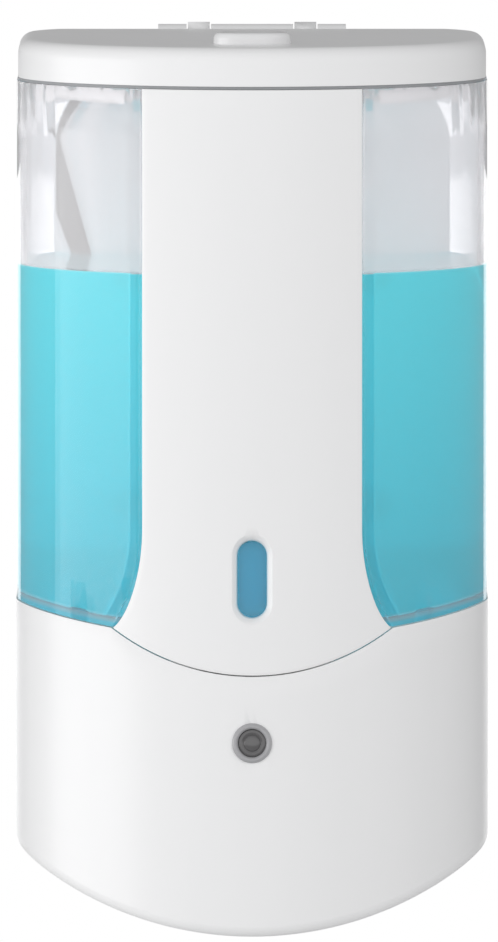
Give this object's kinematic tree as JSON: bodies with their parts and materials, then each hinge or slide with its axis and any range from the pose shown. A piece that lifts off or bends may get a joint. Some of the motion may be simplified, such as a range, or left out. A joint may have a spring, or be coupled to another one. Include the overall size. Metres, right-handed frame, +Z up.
{
  "type": "soap dispenser",
  "caption": "Wall mounted touchless soap dispenser: clear tank behind a white front panel, hinged lid with press latch, gear pump and battery door.",
  "frame": {"origin": "centre of the wall plate's back face, where it lies on the wall", "axes": "+Z up, -Y out of the wall towards the user, +X to the user's right"},
  "size_m": [0.107, 0.1127, 0.2036],
  "materials": {
    "white_shell": "gloss moulded ABS",
    "clear_tank": "clear moulded plastic",
    "blue_soap": "translucent liquid",
    "grey_silicone": "matte silicone",
    "steel": "plated steel",
    "brass_contact": "plated brass",
    "circuit_board": "coated board",
    "black_plastic": "moulded",
    "white_inner_plastic": "moulded",
    "clear_tube": "soft clear tube",
    "battery_wrap": "printed wrap, plain",
    "copper_lead": "insulated wire",
    "window_glass": "clear",
    "gear_plastic": "moulded acetal",
    "grey_plastic": "moulded",
    "smoked_lens": "smoked, polished",
    "clear_led": "clear resin"
  },
  "bodies": {
    "wall_bracket": {"wall_plate": "white_inner_plastic"},
    "dispenser": {"rear_housing": "white_shell", "hinge_pin": "steel", "tank": "clear_tank", "liquid_soap": "blue_soap", "outlet_strainer": "white_inner_plastic", "front_panel": "white_shell", "sight_window": "window_glass", "lower_housing": "white_shell", "deck": "white_inner_plastic", "deck_screws": "steel", "housing_screws": "steel", "battery_box": "white_inner_plastic", "battery_1": "battery_wrap", "battery_2": "battery_wrap", "battery_3": "battery_wrap", "battery_4": "battery_wrap", "battery_springs": "steel", "contact_plates_front": "brass_contact", "contact_plates_back": "brass_contact", "pump_body": "black_plastic", "pump_cover": "black_plastic", "idler_pin": "steel", "pump_screws": "steel", "shaft_seal": "grey_silicone", "motor_can": "steel", "motor_end_cap": "black_plastic", "motor_terminals": "brass_contact", "inlet_tube": "clear_tube", "outlet_tube": "clear_tube", "nozzle": "grey_plastic", "nozzle_valve": "grey_silicone", "eye_bezel": "grey_plastic", "eye_lens": "smoked_lens", "eye_board": "circuit_board", "eye_light": "clear_led", "sensor_window": "smoked_lens", "sensor_board": "circuit_board", "hand_emitter": "clear_led", "hand_receiver": "smoked_lens", "switch_case": "black_plastic", "main_board": "circuit_board", "control_chip": "black_plastic", "power_capacitor": "black_plastic", "board_sockets": "white_inner_plastic", "motor_leads": "copper_lead", "battery_leads": "copper_lead", "eye_lead": "copper_lead", "sensor_lead": "copper_lead"},
    "lid": {"lid": "white_shell", "lid_gasket": "grey_silicone", "latch_keeper": "white_inner_plastic", "latch_spring": "steel"},
    "latch_button": {"latch_button": "white_shell"},
    "latch_bolt": {"latch_bolt": "white_inner_plastic"},
    "battery_door": {"battery_door": "white_shell"},
    "drive_train": {"drive_gear": "gear_plastic", "motor_shaft": "steel"},
    "idler": {"idler_gear": "gear_plastic"},
    "switch": {"switch_knob": "black_plastic"}
  },
  "joints": [
    {"name": "lift_off", "type": "slide", "parent": "wall_bracket", "child": "dispenser", "axis": [0, 0, 1], "range_m": [0, 0.016]},
    {"name": "lid_hinge", "type": "hinge", "parent": "dispenser", "child": "lid", "pos_m": [0, -0.0052, 0.079], "axis": [-1, 0, 0], "range_deg": [0, 85]},
    {"name": "latch_press", "type": "slide", "parent": "lid", "child": "latch_button", "axis": [0, 0, -1], "range_m": [0, 0.002], "stiffness_N_per_m": 400, "springref_m": -0.002, "deforming": ["latch_spring"]},
    {"name": "latch_draw", "type": "slide", "parent": "lid", "child": "latch_bolt", "axis": [0, 1, 0], "range_m": [0, 0.002]},
    {"name": "door_hinge", "type": "hinge", "parent": "dispenser", "child": "battery_door", "pos_m": [0.0312, -0.0405, -0.1112], "axis": [0, -1, 0], "range_deg": [0, 90]},
    {"name": "drive_spin", "type": "hinge", "parent": "dispenser", "child": "drive_train", "pos_m": [-0.006, -0.063, -0.075], "axis": [0, 1, 0], "continuous": true},
    {"name": "idler_spin", "type": "hinge", "parent": "dispenser", "child": "idler", "pos_m": [0.006, -0.063, -0.075], "axis": [0, 1, 0], "continuous": true},
    {"name": "switch_slide", "type": "slide", "parent": "dispenser", "child": "switch", "axis": [1, 0, 0], "range_m": [0, 0.003]}
  ],
  "couplings": [
    {"joint": "latch_draw", "follows": "latch_press", "ratio": 1},
    {"joint": "idler_spin", "follows": "drive_spin", "ratio": -1}
  ]
}
